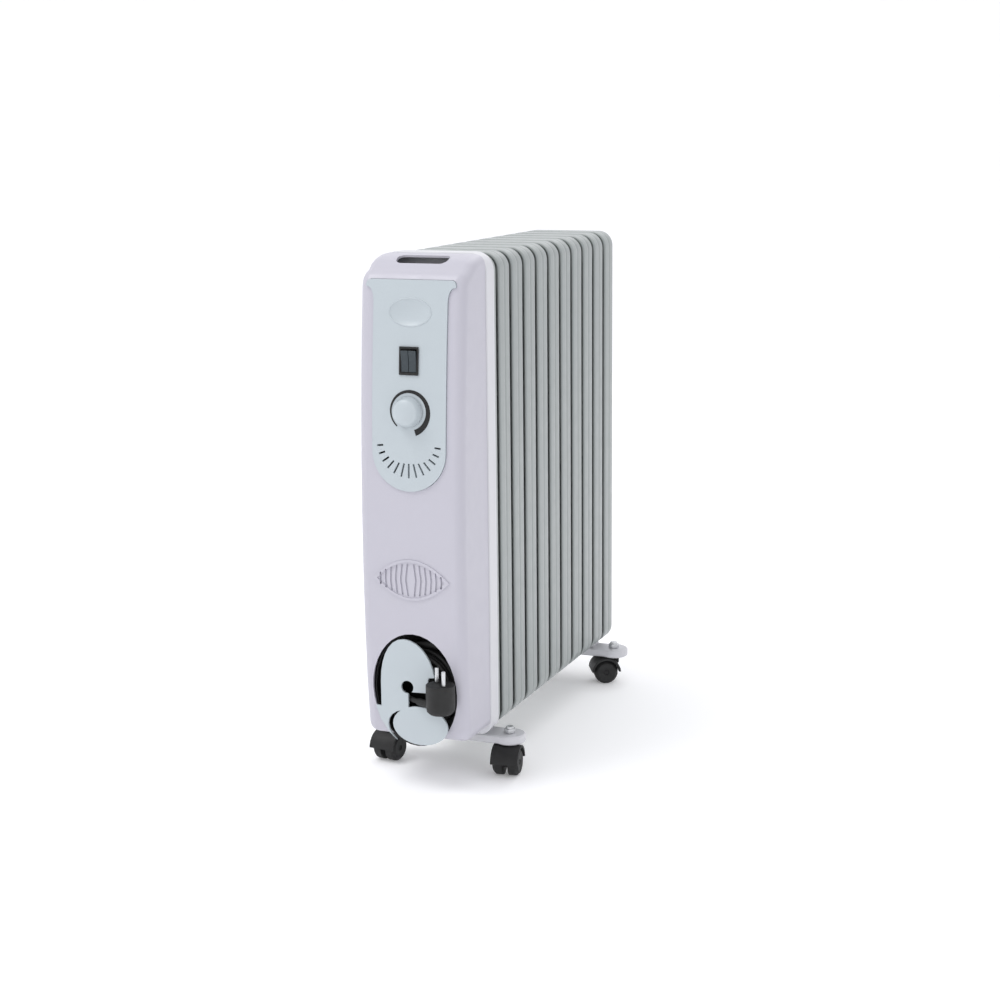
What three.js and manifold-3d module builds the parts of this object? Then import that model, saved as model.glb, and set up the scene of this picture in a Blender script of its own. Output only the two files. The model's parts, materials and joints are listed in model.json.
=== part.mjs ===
// Oil filled radiator heater: eleven pressed steel fins on two header tubes, a control box with a
// cord reel on its front end, and two castor bars. Millimetres, +Z up, the control box faces -Y.
import * as THREE from 'three';
import { mergeVertices } from 'three/addons/utils/BufferGeometryUtils.js';
import Module from 'manifold-3d';

const wasm = await Module();
wasm.setup();

// ---------------------------------------------------------------- driving dimensions
const GAP = 0.3; // clearance between pieces that rest on each other

// Fins
const FIN_COUNT = 11;
const FIN_PITCH = 43;
const FIN_GAP = 10; // open space between one fin's folded edge and the next
const FIN_WIDTH = 132;
const FIN_TALL = 588;
const FIN_CORNER = 20;
const FIN_CORNER_STEPS = 3;
const FIN_EDGE_BEVEL = 2;
const FIN_EDGE_WALL = 4;
const FIN_WEB = 8; // thickness of the oil panel between the folded edges

// Header tubes, made of the fins' collars
const HEADER_RADIUS = 24;
const HEADER_BORE = 20;
const HEADER_FROM_TOP = 70;
const HEADER_FROM_BOTTOM = 62;
const HEADER_SIDES = 8;

// Control box: rear shell over the first fin, front cover before it
const BOX_DEPTH = 103; // from the fullest point of the front to the rear shell's edge
const SHELL_DEPTH = 24.5;
const SHELL_WALL = 1.8;
const SHELL_CLEAR = 0.7; // between the rear shell and the first fin inside it
const SHELL_CORNER = 22;
const SHELL_BOTTOM_CORNER = 16;
const SHELL_PROUD = 1.4; // how far the rear shell stands out past the front cover
const COVER_WALL = 2.5;
const COVER_EDGE_RADIUS = 12;
const COVER_LIFT = 10; // the cover's lower edge above the fins' lower edge
const COVER_FRONT_DROP = 18.1; // from the top of the cover down to the top of its front face
const BOW_DEPTH = 13.7; // how far the front face falls back from its fullest point
const BOW_REACH_SHARE = 0.4932; // share of the fins' height over which it falls back by that much
const BOW_HEIGHT_SHARE = 0.3912; // share of the fins' height at which the front is fullest

// Fascia and controls
const FASCIA_INSET = 20.1; // from the cover's side to the fascia's side
const FASCIA_LENGTH = 246;
const FASCIA_FROM_TOP = 8;
const FASCIA_FLARE_OUT = 10;
const FASCIA_FLARE_DROP = 16;
const FASCIA_PROUD = 2;
const FASCIA_BEHIND = 3.5;
const DISH_DROP = 37; // each drop is measured down from the fascia's top edge
const DISH_HALF_WIDTH = 26;
const DISH_HALF_HEIGHT = 15.5;
const DISH_DEPTH = 4;
const SWITCH_DROP = 93;
const SWITCH_WIDTH = 24.5;
const SWITCH_TALL = 33;
const SWITCH_DEPTH = 15;
const SWITCH_PROUD = 1.6;
const ROCKER_WIDTH = 9.3;
const ROCKER_TALL = 25.2;
const ROCKER_SWING = 8; // degrees either side of level
const KNOB_DROP = 152;
const KNOB_RADIUS = 18;
const KNOB_LENGTH = 15;
const SHAFT_RADIUS = 3;
const SHAFT_CLEAR = 0.35;
const THERMOSTAT_SIZE = 34;
const THERMOSTAT_DEPTH = 28;
const VENT_COUNT = 13;
const VENT_RISE = 57; // from the fascia's tip up to the centre of the slots' arc
const VENT_INSET = 6;
const VENT_WIDTH = 2.2;
const VENT_LONGEST = 17;
const VENT_SHORTEST = 8;

// Louvre in the cover
const LOUVRE_SHARE = 0.385; // share of the way from the reel's top to the fascia's tip
const LOUVRE_INSET = 17.1; // from the cover's side to the louvre's corner
const LOUVRE_HALF_HEIGHT = 25;
const LOUVRE_RIM = 3;
const LOUVRE_PROUD = 1.2;
const LOUVRE_SLOTS = 6; // on each side of the centre
const LOUVRE_PITCH_SHARE = 0.132; // of the louvre's half width
const LOUVRE_SLOT = 2.4;
const LOUVRE_GROOVE = 1.9; // depth of the grooves behind the cover's face
const LOUVRE_REACH = 40; // half height of the layer the rim is cut from

// Grip slot in the top of the cover
const GRIP_WIDTH = 66;
const GRIP_LENGTH = 20;
const GRIP_Y = 52;

// Cord reel
const REEL_RISE = 62; // from the cover's lower edge to the reel's centre
const TUB_INSET = 12.1; // from the cover's side to the tub's side
const TUB_HALF_HEIGHT = 71;
const TUB_WALL = 1.8;
const TUB_FRONT = 10;
const CORD_DIAMETER = 6.5;
const COIL_LAYERS = 2; // turns of cord one over the other
const COIL_ROWS = 3; // turns of cord side by side
const COIL_TO_TUB = 2;
const COIL_SLACK = 2.4; // behind the coil
const COIL_FRONT = 14.3;
const HUB_WALL = 2.6;
const FLANGE_FRONT = 0.5;
const FLANGE_THICK = 3;
const REEL_EYE_X = -8;
const REEL_EYE_RISE = 5; // each rise is measured from the reel's centre
const REEL_EYE_RADIUS = 8;
const DISC_X = 8;
const DISC_RISE = -42;
const DISC_HALF_WIDTH = 36;
const DISC_HALF_HEIGHT = 24;
const PLUG_X = 42.5;
const PLUG_Y = -15;
const PLUG_RADIUS = 17.5;
const PLUG_RISE = -17;
const PLUG_TALL = 35;
const PIN_RADIUS = 2.4;
const PIN_LENGTH = 19;
const PIN_SPACING = 19;
const PIN_TURN = -42; // degrees, the line through the two pins seen from above
const RELIEF_X = 6;
const RELIEF_Y = 1.2;
const RELIEF_RISE = -11.5;
const GLAND_TIP_X = 4;
const GLAND_BACK_X = 40;
const GLAND_RADIUS = 5.2;

// Castors and the bars they stand under
const BAR_SKIRT = 11;
const BAR_SHEET = 1.8;
const BAR_WIDTH = 34;
const SADDLE_HEIGHT = 5; // raised middle of a bar, which the fins rest on
const SADDLE_LENGTH = 104;
const SADDLE_WIDTH = 22;
const CASTOR_OUT = 13; // from the fins' side out to the castors' swivel axes
const EAR_RADIUS = 20;
const WHEEL_RADIUS = 17;
const WHEEL_WIDTH = 13.3;
const WHEEL_SIDES = 20;
const WHEEL_INNER_FACE = 3.4;
const AXLE_RADIUS = 3;
const CASTOR_TRAIL = 13;
const HOOD_CLEAR = 1; // between wheel and hood
const HOOD_WALL = 3;
const HOOD_HALF_WIDTH = 17.4;
const STEM_RADIUS = 4;
const BOSS_RADIUS = 8.5;
const BOSS_DROP = 2.4; // from the bar's sheet down to the castor's boss
const SWIVEL_CLEAR = 0.7; // between the hoods and the bars' skirts
const U_BOLT_RADIUS = 2.5;

// ---------------------------------------------------------------- derived places
const HOOD_INNER = WHEEL_RADIUS + HOOD_CLEAR;
const BAR_TOP = WHEEL_RADIUS + HOOD_INNER + HOOD_WALL + SWIVEL_CLEAR + BAR_SKIRT;
const BOSS_TOP = BAR_TOP - BAR_SHEET - BOSS_DROP;
const FIN_BOTTOM = BAR_TOP + SADDLE_HEIGHT + GAP;
const FIN_TOP = FIN_BOTTOM + FIN_TALL;
const FIN_DEPTH = FIN_PITCH - FIN_GAP; // thickness of one fin's folded edge, front to back
const CASTOR_X = FIN_WIDTH / 2 + CASTOR_OUT;
const HEADER_TOP_Z = FIN_TOP - HEADER_FROM_TOP;
const HEADER_BOTTOM_Z = FIN_BOTTOM + HEADER_FROM_BOTTOM;
const SHELL_FRONT = BOX_DEPTH - SHELL_DEPTH;
const FIRST_FIN_Y = SHELL_FRONT + SHELL_WALL + SHELL_CLEAR + FIN_DEPTH / 2;
const LAST_FIN_Y = FIRST_FIN_Y + (FIN_COUNT - 1) * FIN_PITCH;
const COVER_BACK = SHELL_FRONT - GAP;
const SHELL_HALF = FIN_WIDTH / 2 + SHELL_CLEAR + SHELL_WALL;
const SHELL_TOP = FIN_TOP + SHELL_CLEAR + SHELL_WALL;
const SHELL_BOTTOM = FIN_BOTTOM + GAP;
const COVER_HALF = SHELL_HALF - SHELL_PROUD;
const COVER_TOP = SHELL_TOP - SHELL_PROUD;
const COVER_BOTTOM = FIN_BOTTOM + COVER_LIFT;
const COVER_FRONT_TOP = COVER_TOP - COVER_FRONT_DROP;
const BOW_REACH = FIN_TALL * BOW_REACH_SHARE;
const BOW_HEIGHT = FIN_BOTTOM + FIN_TALL * BOW_HEIGHT_SHARE;
const FASCIA_HALF_WIDTH = COVER_HALF - FASCIA_INSET;
const FASCIA_FLARE = FASCIA_HALF_WIDTH + FASCIA_FLARE_OUT;
const FASCIA_TOP = COVER_FRONT_TOP - FASCIA_FROM_TOP;
const FASCIA_FLARE_FROM = FASCIA_TOP - FASCIA_FLARE_DROP;
const FASCIA_TIP = FASCIA_TOP - FASCIA_LENGTH;
const DISH_HEIGHT = FASCIA_TOP - DISH_DROP;
const SWITCH_HEIGHT = FASCIA_TOP - SWITCH_DROP;
const KNOB_HEIGHT = FASCIA_TOP - KNOB_DROP;
const VENT_CENTRE = FASCIA_TIP + VENT_RISE;
const VENT_RADIUS = FASCIA_HALF_WIDTH - VENT_INSET;
const REEL_HEIGHT = COVER_BOTTOM + REEL_RISE;
const REEL_TOP = REEL_HEIGHT + TUB_HALF_HEIGHT;
const LOUVRE_HEIGHT = REEL_TOP + LOUVRE_SHARE * (FASCIA_TIP - REEL_TOP);
const LOUVRE_HALF_WIDTH = COVER_HALF - LOUVRE_INSET;
const LOUVRE_PITCH = LOUVRE_HALF_WIDTH * LOUVRE_PITCH_SHARE;
const TUB_HALF_WIDTH = COVER_HALF - TUB_INSET;
const COIL_OUTER = TUB_HALF_WIDTH - TUB_WALL - COIL_TO_TUB;
const COIL_INNER = COIL_OUTER - COIL_LAYERS * (CORD_DIAMETER + GAP);
const COIL_BACK = COIL_FRONT + COIL_ROWS * (CORD_DIAMETER + GAP) + GAP / 3;
const TUB_BACK = COIL_BACK + COIL_SLACK + TUB_WALL;
const REEL_EYE_HEIGHT = REEL_HEIGHT + REEL_EYE_RISE;
const DISC_HEIGHT = REEL_HEIGHT + DISC_RISE;
const PLUG_BOTTOM = REEL_HEIGHT + PLUG_RISE;
const PLUG_TOP = PLUG_BOTTOM + PLUG_TALL;
const RELIEF_END = new THREE.Vector3(RELIEF_X, RELIEF_Y, REEL_HEIGHT + RELIEF_RISE);
const GLAND_HEIGHT = REEL_HEIGHT + COIL_OUTER + CORD_DIAMETER / 2 + 1.5;
const BAR_SHIFT = 7; // from the gap between two fins out to the middle of the bar
const FRONT_BAR_Y = FIRST_FIN_Y + FIN_PITCH / 2 - BAR_SHIFT;
const REAR_BAR_Y = LAST_FIN_Y - FIN_PITCH / 2 + BAR_SHIFT;

// ---------------------------------------------------------------- materials
function finish(color, roughness, metalness) {
  return new THREE.MeshStandardMaterial({ color, roughness, metalness });
}
const ENAMEL = () => finish('#dfe2e4', 0.35, 0.1);
const COVER_PLASTIC = () => finish('#e2e2ea', 0.4, 0);
const FASCIA_PLASTIC = () => finish('#dbe4ea', 0.38, 0);
const BLACK_PLASTIC = () => finish('#1d1d20', 0.5, 0);
const DARK_PLASTIC = () => finish('#3a4046', 0.4, 0);
const RUBBER = () => finish('#141414', 0.7, 0);
const STEEL = () => finish('#9da3a3', 0.35, 1);
const COPPER = () => finish('#b07a52', 0.4, 1);
const BRASS = () => finish('#b79b5a', 0.35, 1);
const PHENOLIC = () => finish('#e8e0cf', 0.6, 0);

// ---------------------------------------------------------------- solids
function toManifold(geometry) {
  const bare = geometry.clone();
  bare.deleteAttribute('normal');
  bare.deleteAttribute('uv');
  const merged = mergeVertices(bare, 1e-4);
  return new wasm.Manifold(new wasm.Mesh({
    numProp: 3,
    vertProperties: new Float32Array(merged.attributes.position.array),
    triVerts: new Uint32Array(merged.index.array),
  }));
}

function toGeometry(solid) {
  const mesh = solid.getMesh();
  const geometry = new THREE.BufferGeometry();
  geometry.setAttribute('position', new THREE.BufferAttribute(new Float32Array(mesh.vertProperties), 3));
  geometry.setIndex(new THREE.BufferAttribute(new Uint32Array(mesh.triVerts), 1));
  geometry.computeVertexNormals();
  return geometry;
}

// Joins the first geometry with the added ones, then takes the cut ones away.
function carve(base, added, cuts) {
  let solid = toManifold(base);
  for (const piece of added) {
    solid = solid.add(toManifold(piece));
  }
  for (const piece of cuts) {
    solid = solid.subtract(toManifold(piece));
  }
  return toGeometry(solid);
}

function common(first, second) {
  return toGeometry(toManifold(first).intersect(toManifold(second)));
}

// An outline in X and Z, made solid from y = front to y = back.
function slab(shape, front, back, options = {}) {
  const bevel = options.bevel ?? 0;
  const geometry = new THREE.ExtrudeGeometry(shape, {
    depth: back - front - 2 * bevel,
    bevelEnabled: bevel > 0,
    bevelThickness: bevel,
    bevelSize: bevel,
    bevelOffset: -bevel,
    bevelSegments: options.bevelSegments ?? 1,
    curveSegments: options.curveSegments ?? 6,
  });
  geometry.rotateX(Math.PI / 2);
  geometry.translate(0, back - bevel, 0);
  return geometry;
}

// An outline in Y and Z, made solid from x = -half to x = half, its long edges rounded off.
function crossSlab(shape, half, radius = 0, bevelSegments = 4, curveSegments = 6) {
  const geometry = new THREE.ExtrudeGeometry(shape, {
    depth: 2 * (half - radius),
    bevelEnabled: radius > 0,
    bevelThickness: radius,
    bevelSize: radius,
    bevelOffset: -radius,
    bevelSegments,
    curveSegments,
  });
  geometry.translate(0, 0, -(half - radius));
  const turn = new THREE.Matrix4().makeBasis(
    new THREE.Vector3(0, 1, 0),
    new THREE.Vector3(0, 0, 1),
    new THREE.Vector3(1, 0, 0),
  );
  geometry.applyMatrix4(turn);
  return geometry;
}

// An outline in X and Y, made solid from z = bottom to z = top.
function plate(shape, bottom, top, bevel = 0, bevelSegments = 2, curveSegments = 6) {
  const geometry = new THREE.ExtrudeGeometry(shape, {
    depth: top - bottom - 2 * bevel,
    bevelEnabled: bevel > 0,
    bevelThickness: bevel,
    bevelSize: bevel,
    bevelOffset: -bevel,
    bevelSegments,
    curveSegments,
  });
  geometry.translate(0, 0, bottom + bevel);
  return geometry;
}

function block(x, y, z, width, depth, height) {
  const geometry = new THREE.BoxGeometry(width, depth, height);
  geometry.translate(x, y, z);
  return geometry;
}

// A round rod along Y between two planes.
function rodY(x, z, radius, front, back, sides = 16) {
  const geometry = new THREE.CylinderGeometry(radius, radius, back - front, sides);
  geometry.translate(x, (front + back) / 2, z);
  return geometry;
}

function rodZ(x, y, radius, bottom, top, sides = 16) {
  const geometry = new THREE.CylinderGeometry(radius, radius, top - bottom, sides);
  geometry.rotateX(Math.PI / 2);
  geometry.translate(x, y, (bottom + top) / 2);
  return geometry;
}

// A turned piece: the profile is a list of [radius, height] pairs that closes on the axis or itself.
function turned(profile, sides) {
  const points = profile.map(([radius, height]) => new THREE.Vector2(radius, height));
  return new THREE.LatheGeometry(points, sides);
}

function polygon(points) {
  return new THREE.Shape(points.map(([a, b]) => new THREE.Vector2(a, b)));
}

function roundedRectangle(half, bottom, top, bottomRadius, topRadius) {
  const shape = new THREE.Shape();
  shape.moveTo(-half + bottomRadius, bottom);
  shape.lineTo(half - bottomRadius, bottom);
  shape.absarc(half - bottomRadius, bottom + bottomRadius, bottomRadius, -Math.PI / 2, 0, false);
  shape.lineTo(half, top - topRadius);
  shape.absarc(half - topRadius, top - topRadius, topRadius, 0, Math.PI / 2, false);
  shape.lineTo(-half + topRadius, top);
  shape.absarc(-half + topRadius, top - topRadius, topRadius, Math.PI / 2, Math.PI, false);
  shape.lineTo(-half, bottom + bottomRadius);
  shape.absarc(-half + bottomRadius, bottom + bottomRadius, bottomRadius, Math.PI, 1.5 * Math.PI, false);
  return shape;
}

function ellipse(x, z, halfWidth, halfHeight, count = 32) {
  const shape = new THREE.Shape();
  for (let i = 0; i < count; i += 1) {
    const angle = (i / count) * 2 * Math.PI;
    const px = x + halfWidth * Math.cos(angle);
    const pz = z + halfHeight * Math.sin(angle);
    if (i === 0) {
      shape.moveTo(px, pz);
    } else {
      shape.lineTo(px, pz);
    }
  }
  return shape;
}

// A round section swept along a smooth curve through the given points.
function cordTube(points, radius, steps, sides = 8) {
  const section = new THREE.Shape();
  for (let i = 0; i < sides; i += 1) {
    const angle = (i / sides) * 2 * Math.PI;
    const x = radius * Math.cos(angle);
    const y = radius * Math.sin(angle);
    if (i === 0) {
      section.moveTo(x, y);
    } else {
      section.lineTo(x, y);
    }
  }
  const path = new THREE.CatmullRomCurve3(points, false, 'centripetal');
  return new THREE.ExtrudeGeometry(section, { steps, extrudePath: path, bevelEnabled: false });
}

// ---------------------------------------------------------------- the assembly
const heater = new THREE.Group();

function put(name, geometry, material) {
  const mesh = new THREE.Mesh(geometry, material);
  mesh.name = name;
  heater.add(mesh);
  return mesh;
}

// ---------------------------------------------------------------- fins
function finOutline(inset) {
  return roundedRectangle(
    FIN_WIDTH / 2 - inset,
    FIN_BOTTOM + inset,
    FIN_TOP - inset,
    FIN_CORNER - inset,
    FIN_CORNER - inset,
  );
}

function fin(index) {
  const centre = FIRST_FIN_Y + index * FIN_PITCH;
  const half = FIN_DEPTH / 2;
  const first = index === 0;
  const last = index === FIN_COUNT - 1;
  const outer = slab(finOutline(0), centre - half, centre + half, {
    bevel: FIN_EDGE_BEVEL,
    curveSegments: FIN_CORNER_STEPS,
  });
  const pan = finOutline(FIN_EDGE_WALL);
  const cuts = [
    slab(pan, centre - half - 1, centre - FIN_WEB / 2, { curveSegments: FIN_CORNER_STEPS }),
    slab(pan, centre + FIN_WEB / 2, centre + half + 1, { curveSegments: FIN_CORNER_STEPS }),
  ];
  const collarReach = FIN_PITCH / 2 - GAP / 2;
  const collars = [];
  const bores = [];
  for (const z of [HEADER_TOP_Z, HEADER_BOTTOM_Z]) {
    const front = first ? centre - FIN_WEB / 2 : centre - collarReach;
    const back = last ? centre + FIN_WEB / 2 : centre + collarReach;
    collars.push(rodY(0, z, HEADER_RADIUS, front, back, HEADER_SIDES));
    const openFront = first && z === HEADER_TOP_Z ? centre : front - 1;
    const openBack = last ? centre : back + 1;
    bores.push(rodY(0, z, HEADER_BORE, openFront, openBack, HEADER_SIDES));
  }
  const panel = carve(outer, [], cuts);
  return carve(panel, collars, bores);
}

for (let i = 0; i < FIN_COUNT; i += 1) {
  put(`fin_${String(i + 1).padStart(2, '0')}`, fin(i), ENAMEL());
}

// ---------------------------------------------------------------- heating element
const HEX_RADIUS = 27;
const HEX_THICK = 8;
const FLANGE_SPIGOT = 9;
const ELEMENT_RADIUS = 8;
const firstWebFront = FIRST_FIN_Y - FIN_WEB / 2;
const hexBack = firstWebFront - GAP;

function elementFlange() {
  const head = rodY(0, HEADER_BOTTOM_Z, HEX_RADIUS, hexBack - HEX_THICK, hexBack, 6);
  const spigot = rodY(0, HEADER_BOTTOM_Z, HEADER_BORE - 1, hexBack - 1, hexBack + FLANGE_SPIGOT, HEADER_SIDES);
  return carve(head, [spigot], []);
}

put('element_flange', elementFlange(), BRASS());
put(
  'heating_element',
  rodY(0, HEADER_BOTTOM_Z, ELEMENT_RADIUS, hexBack + FLANGE_SPIGOT + GAP, LAST_FIN_Y - FIN_PITCH, 12),
  COPPER(),
);

const CUTOUT_RADIUS = 9;
const CUTOUT_THICK = 7;
const CUTOUT_HEIGHT = HEADER_BOTTOM_Z + 60;
put(
  'thermal_cutout',
  rodY(0, CUTOUT_HEIGHT, CUTOUT_RADIUS, hexBack - CUTOUT_THICK, hexBack, 14),
  BLACK_PLASTIC(),
);

// ---------------------------------------------------------------- control box
function bowAt(z) {
  return BOW_DEPTH * ((z - BOW_HEIGHT) / BOW_REACH) ** 2;
}

// The side outline of the control box, shrunk by an inset, carried back to y = back.
function boxSide(inset, back, frontSteps) {
  const shape = new THREE.Shape();
  const bottom = COVER_BOTTOM + inset;
  const frontTop = COVER_FRONT_TOP - inset;
  const bottomRound = 19;
  const topRound = 17;
  shape.moveTo(back, bottom);
  shape.lineTo(bowAt(bottom) + inset + bottomRound, bottom);
  shape.quadraticCurveTo(bowAt(bottom) + inset, bottom, bowAt(bottom) + inset, bottom + bottomRound);
  for (let i = 1; i <= frontSteps; i += 1) {
    const z = bottom + bottomRound + ((frontTop - topRound - bottom - bottomRound) * i) / frontSteps;
    shape.lineTo(bowAt(z) + inset, z);
  }
  const brow = bowAt(frontTop) + inset;
  shape.quadraticCurveTo(brow, frontTop, brow + topRound, frontTop + 3.5);
  const rise = COVER_TOP - inset;
  shape.quadraticCurveTo(COVER_BACK * 0.62, rise, COVER_BACK, rise);
  shape.lineTo(back, rise);
  return shape;
}

// The layer between two depths behind the bowed front face.
function bowLayer(near, far, bottom, top, half, steps) {
  const points = [];
  for (let i = 0; i <= steps; i += 1) {
    const z = bottom + ((top - bottom) * i) / steps;
    points.push([bowAt(z) + near, z]);
  }
  for (let i = steps; i >= 0; i -= 1) {
    const z = bottom + ((top - bottom) * i) / steps;
    points.push([bowAt(z) + far, z]);
  }
  return crossSlab(polygon(points), half);
}

function fasciaOutline(grow) {
  const half = FASCIA_HALF_WIDTH + grow;
  const shape = new THREE.Shape();
  const tipCentre = FASCIA_TIP + FASCIA_HALF_WIDTH;
  shape.moveTo(-half, tipCentre);
  shape.absarc(0, tipCentre, half, Math.PI, 2 * Math.PI, false);
  const wide = FASCIA_FLARE + grow;
  const bendAt = FASCIA_TOP - FASCIA_FLARE_DROP / 2;
  shape.lineTo(half, FASCIA_FLARE_FROM - 12);
  shape.quadraticCurveTo(half, bendAt, wide, bendAt);
  shape.quadraticCurveTo(wide, FASCIA_TOP + grow, wide - 7, FASCIA_TOP + grow);
  shape.lineTo(-wide + 7, FASCIA_TOP + grow);
  shape.quadraticCurveTo(-wide, FASCIA_TOP + grow, -wide, bendAt);
  shape.quadraticCurveTo(-half, bendAt, -half, FASCIA_FLARE_FROM - 12);
  return shape;
}

function eyeOutline(halfWidth, halfHeight) {
  const shape = new THREE.Shape();
  shape.moveTo(-halfWidth, LOUVRE_HEIGHT);
  shape.quadraticCurveTo(0, LOUVRE_HEIGHT - 2 * halfHeight, halfWidth, LOUVRE_HEIGHT);
  shape.quadraticCurveTo(0, LOUVRE_HEIGHT + 2 * halfHeight, -halfWidth, LOUVRE_HEIGHT);
  return shape;
}

function louvreLayer(near, far) {
  const bottom = LOUVRE_HEIGHT - LOUVRE_REACH;
  const top = LOUVRE_HEIGHT + LOUVRE_REACH;
  return bowLayer(near, far, bottom, top, LOUVRE_HALF_WIDTH + 5, 4);
}

function louvreSlots() {
  const slots = [];
  for (const side of [-1, 1]) {
    for (let i = 1; i <= LOUVRE_SLOTS; i += 1) {
      const x = side * i * LOUVRE_PITCH;
      const share = (i * LOUVRE_PITCH) / LOUVRE_HALF_WIDTH;
      const reach = (LOUVRE_HALF_HEIGHT - LOUVRE_RIM - 2) * (1 - share ** 2);
      const bend = side * 3 * (1 - i / (LOUVRE_SLOTS + 1));
      const half = LOUVRE_SLOT / 2;
      slots.push(slab(polygon([
        [x - half - bend, LOUVRE_HEIGHT - reach],
        [x + half - bend, LOUVRE_HEIGHT - reach],
        [x + half, LOUVRE_HEIGHT],
        [x + half - bend, LOUVRE_HEIGHT + reach],
        [x - half - bend, LOUVRE_HEIGHT + reach],
        [x - half, LOUVRE_HEIGHT],
      ]), -10, 12));
    }
  }
  return slots;
}

function frontCover() {
  const past = 20;
  const outer = crossSlab(boxSide(0, COVER_BACK + past, 10), COVER_HALF, COVER_EDGE_RADIUS, 4, 4);
  const inner = crossSlab(
    boxSide(COVER_WALL, COVER_BACK + past + 5, 6),
    COVER_HALF - COVER_WALL,
    COVER_EDGE_RADIUS - COVER_WALL,
    3,
    3,
  );
  const middle = (FIN_TOP + FIN_BOTTOM) / 2;
  const behind = block(0, COVER_BACK + 50, middle, FIN_WIDTH * 2, 100, FIN_TOP * 1.5);
  const rim = common(
    slab(eyeOutline(LOUVRE_HALF_WIDTH, LOUVRE_HALF_HEIGHT), -10, 12, { curveSegments: 10 }),
    louvreLayer(-LOUVRE_PROUD, 1.2),
  );
  const rimHollow = common(
    slab(eyeOutline(LOUVRE_HALF_WIDTH - 2 * LOUVRE_RIM, LOUVRE_HALF_HEIGHT - LOUVRE_RIM), -10, 12, {
      curveSegments: 10,
    }),
    louvreLayer(-LOUVRE_PROUD - 2, 0.4),
  );
  const tubHole = slab(
    ellipse(0, REEL_HEIGHT, TUB_HALF_WIDTH + GAP, TUB_HALF_HEIGHT + GAP, 36),
    -20,
    TUB_BACK + GAP,
  );
  const panelHole = slab(fasciaOutline(GAP), -10, 40, { curveSegments: 10 });
  const gripShape = roundedRectangle(GRIP_WIDTH / 2, GRIP_Y - GRIP_LENGTH / 2, GRIP_Y + GRIP_LENGTH / 2, 8, 8);
  const grip = plate(gripShape, COVER_FRONT_TOP - 10, COVER_TOP + 20, 0, 1, 3);
  const shell = carve(outer, [], [inner, behind]);
  const grooves = louvreSlots().map((slot) => common(slot, louvreLayer(-LOUVRE_PROUD - 2, LOUVRE_GROOVE)));
  return carve(shell, [rim], [rimHollow, ...grooves, tubHole, panelHole, grip]);
}

put('front_cover', frontCover(), COVER_PLASTIC());

// A tray that is open at the back and underneath, where the first fin stands down out of it.
function rearShell() {
  const outline = roundedRectangle(SHELL_HALF, SHELL_BOTTOM, SHELL_TOP, SHELL_BOTTOM_CORNER, SHELL_CORNER);
  const hollow = roundedRectangle(
    SHELL_HALF - SHELL_WALL,
    SHELL_BOTTOM - SHELL_BOTTOM_CORNER,
    SHELL_TOP - SHELL_WALL,
    2,
    SHELL_CORNER - SHELL_WALL,
  );
  const outer = slab(outline, SHELL_FRONT, BOX_DEPTH, { bevel: 1.2, curveSegments: 4 });
  const inner = slab(hollow, SHELL_FRONT + SHELL_WALL, BOX_DEPTH + 5, { curveSegments: 4 });
  const elementHole = rodY(0, HEADER_BOTTOM_Z, HEX_RADIUS - 9, 0, BOX_DEPTH, 10);
  const cutoutHole = rodY(0, CUTOUT_HEIGHT, CUTOUT_RADIUS + 3, 0, BOX_DEPTH, 10);
  return carve(outer, [], [inner, elementHole, cutoutHole]);
}

put('rear_shell', rearShell(), ENAMEL());

// ---------------------------------------------------------------- fascia
// A frame on the bowed panel: its origin is on the panel's face at a height, -Y points straight out
// of the face there and Z runs up it.
function faceFrame(z) {
  const slope = (2 * BOW_DEPTH * (z - BOW_HEIGHT)) / BOW_REACH ** 2;
  const frame = new THREE.Matrix4().makeRotationX(-Math.atan(slope));
  frame.setPosition(0, bowAt(z) - FASCIA_PROUD, z);
  return frame;
}

function onFace(geometry, z) {
  geometry.applyMatrix4(faceFrame(z));
  return geometry;
}

function ventSlots() {
  const slots = [];
  const lift = THREE.MathUtils.degToRad(6);
  for (let i = 0; i < VENT_COUNT; i += 1) {
    const share = i / (VENT_COUNT - 1);
    const angle = lift + share * (Math.PI - 2 * lift);
    const length = VENT_SHORTEST + (VENT_LONGEST - VENT_SHORTEST) * Math.sin(share * Math.PI) ** 2;
    const slot = block(-VENT_RADIUS + length / 2, 0, 0, length, 40, VENT_WIDTH);
    slot.rotateY(-angle);
    slot.translate(0, 0, VENT_CENTRE);
    slots.push(slot);
  }
  return slots;
}

function fascia() {
  const panel = common(
    slab(fasciaOutline(0), -20, 45, { curveSegments: 10 }),
    bowLayer(-FASCIA_PROUD, FASCIA_BEHIND, FASCIA_TIP - 5, FASCIA_TOP + 10, FASCIA_FLARE + 10, 8),
  );
  const dish = new THREE.SphereGeometry(1, 28, 20);
  const dishReach = 12;
  const spread = 1 / Math.sqrt(1 - (1 - DISH_DEPTH / dishReach) ** 2); // so that the oval has its size at the face
  dish.scale(DISH_HALF_WIDTH * spread, dishReach, DISH_HALF_HEIGHT * spread);
  dish.translate(0, DISH_DEPTH - dishReach, 0);
  const switchHole = block(0, 0, 0, SWITCH_WIDTH - 2 + 2 * GAP, 30, SWITCH_TALL - 2 + 2 * GAP);
  const shaftHole = rodY(0, 0, SHAFT_RADIUS + SHAFT_CLEAR, -20, 20, 16);
  return carve(panel, [], [
    onFace(dish, DISH_HEIGHT),
    onFace(switchHole, SWITCH_HEIGHT),
    onFace(shaftHole, KNOB_HEIGHT),
    ...ventSlots(),
  ]);
}

put('fascia_panel', fascia(), FASCIA_PLASTIC());

// ---------------------------------------------------------------- switch
const SWITCH_WALL = 1.4;

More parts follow.
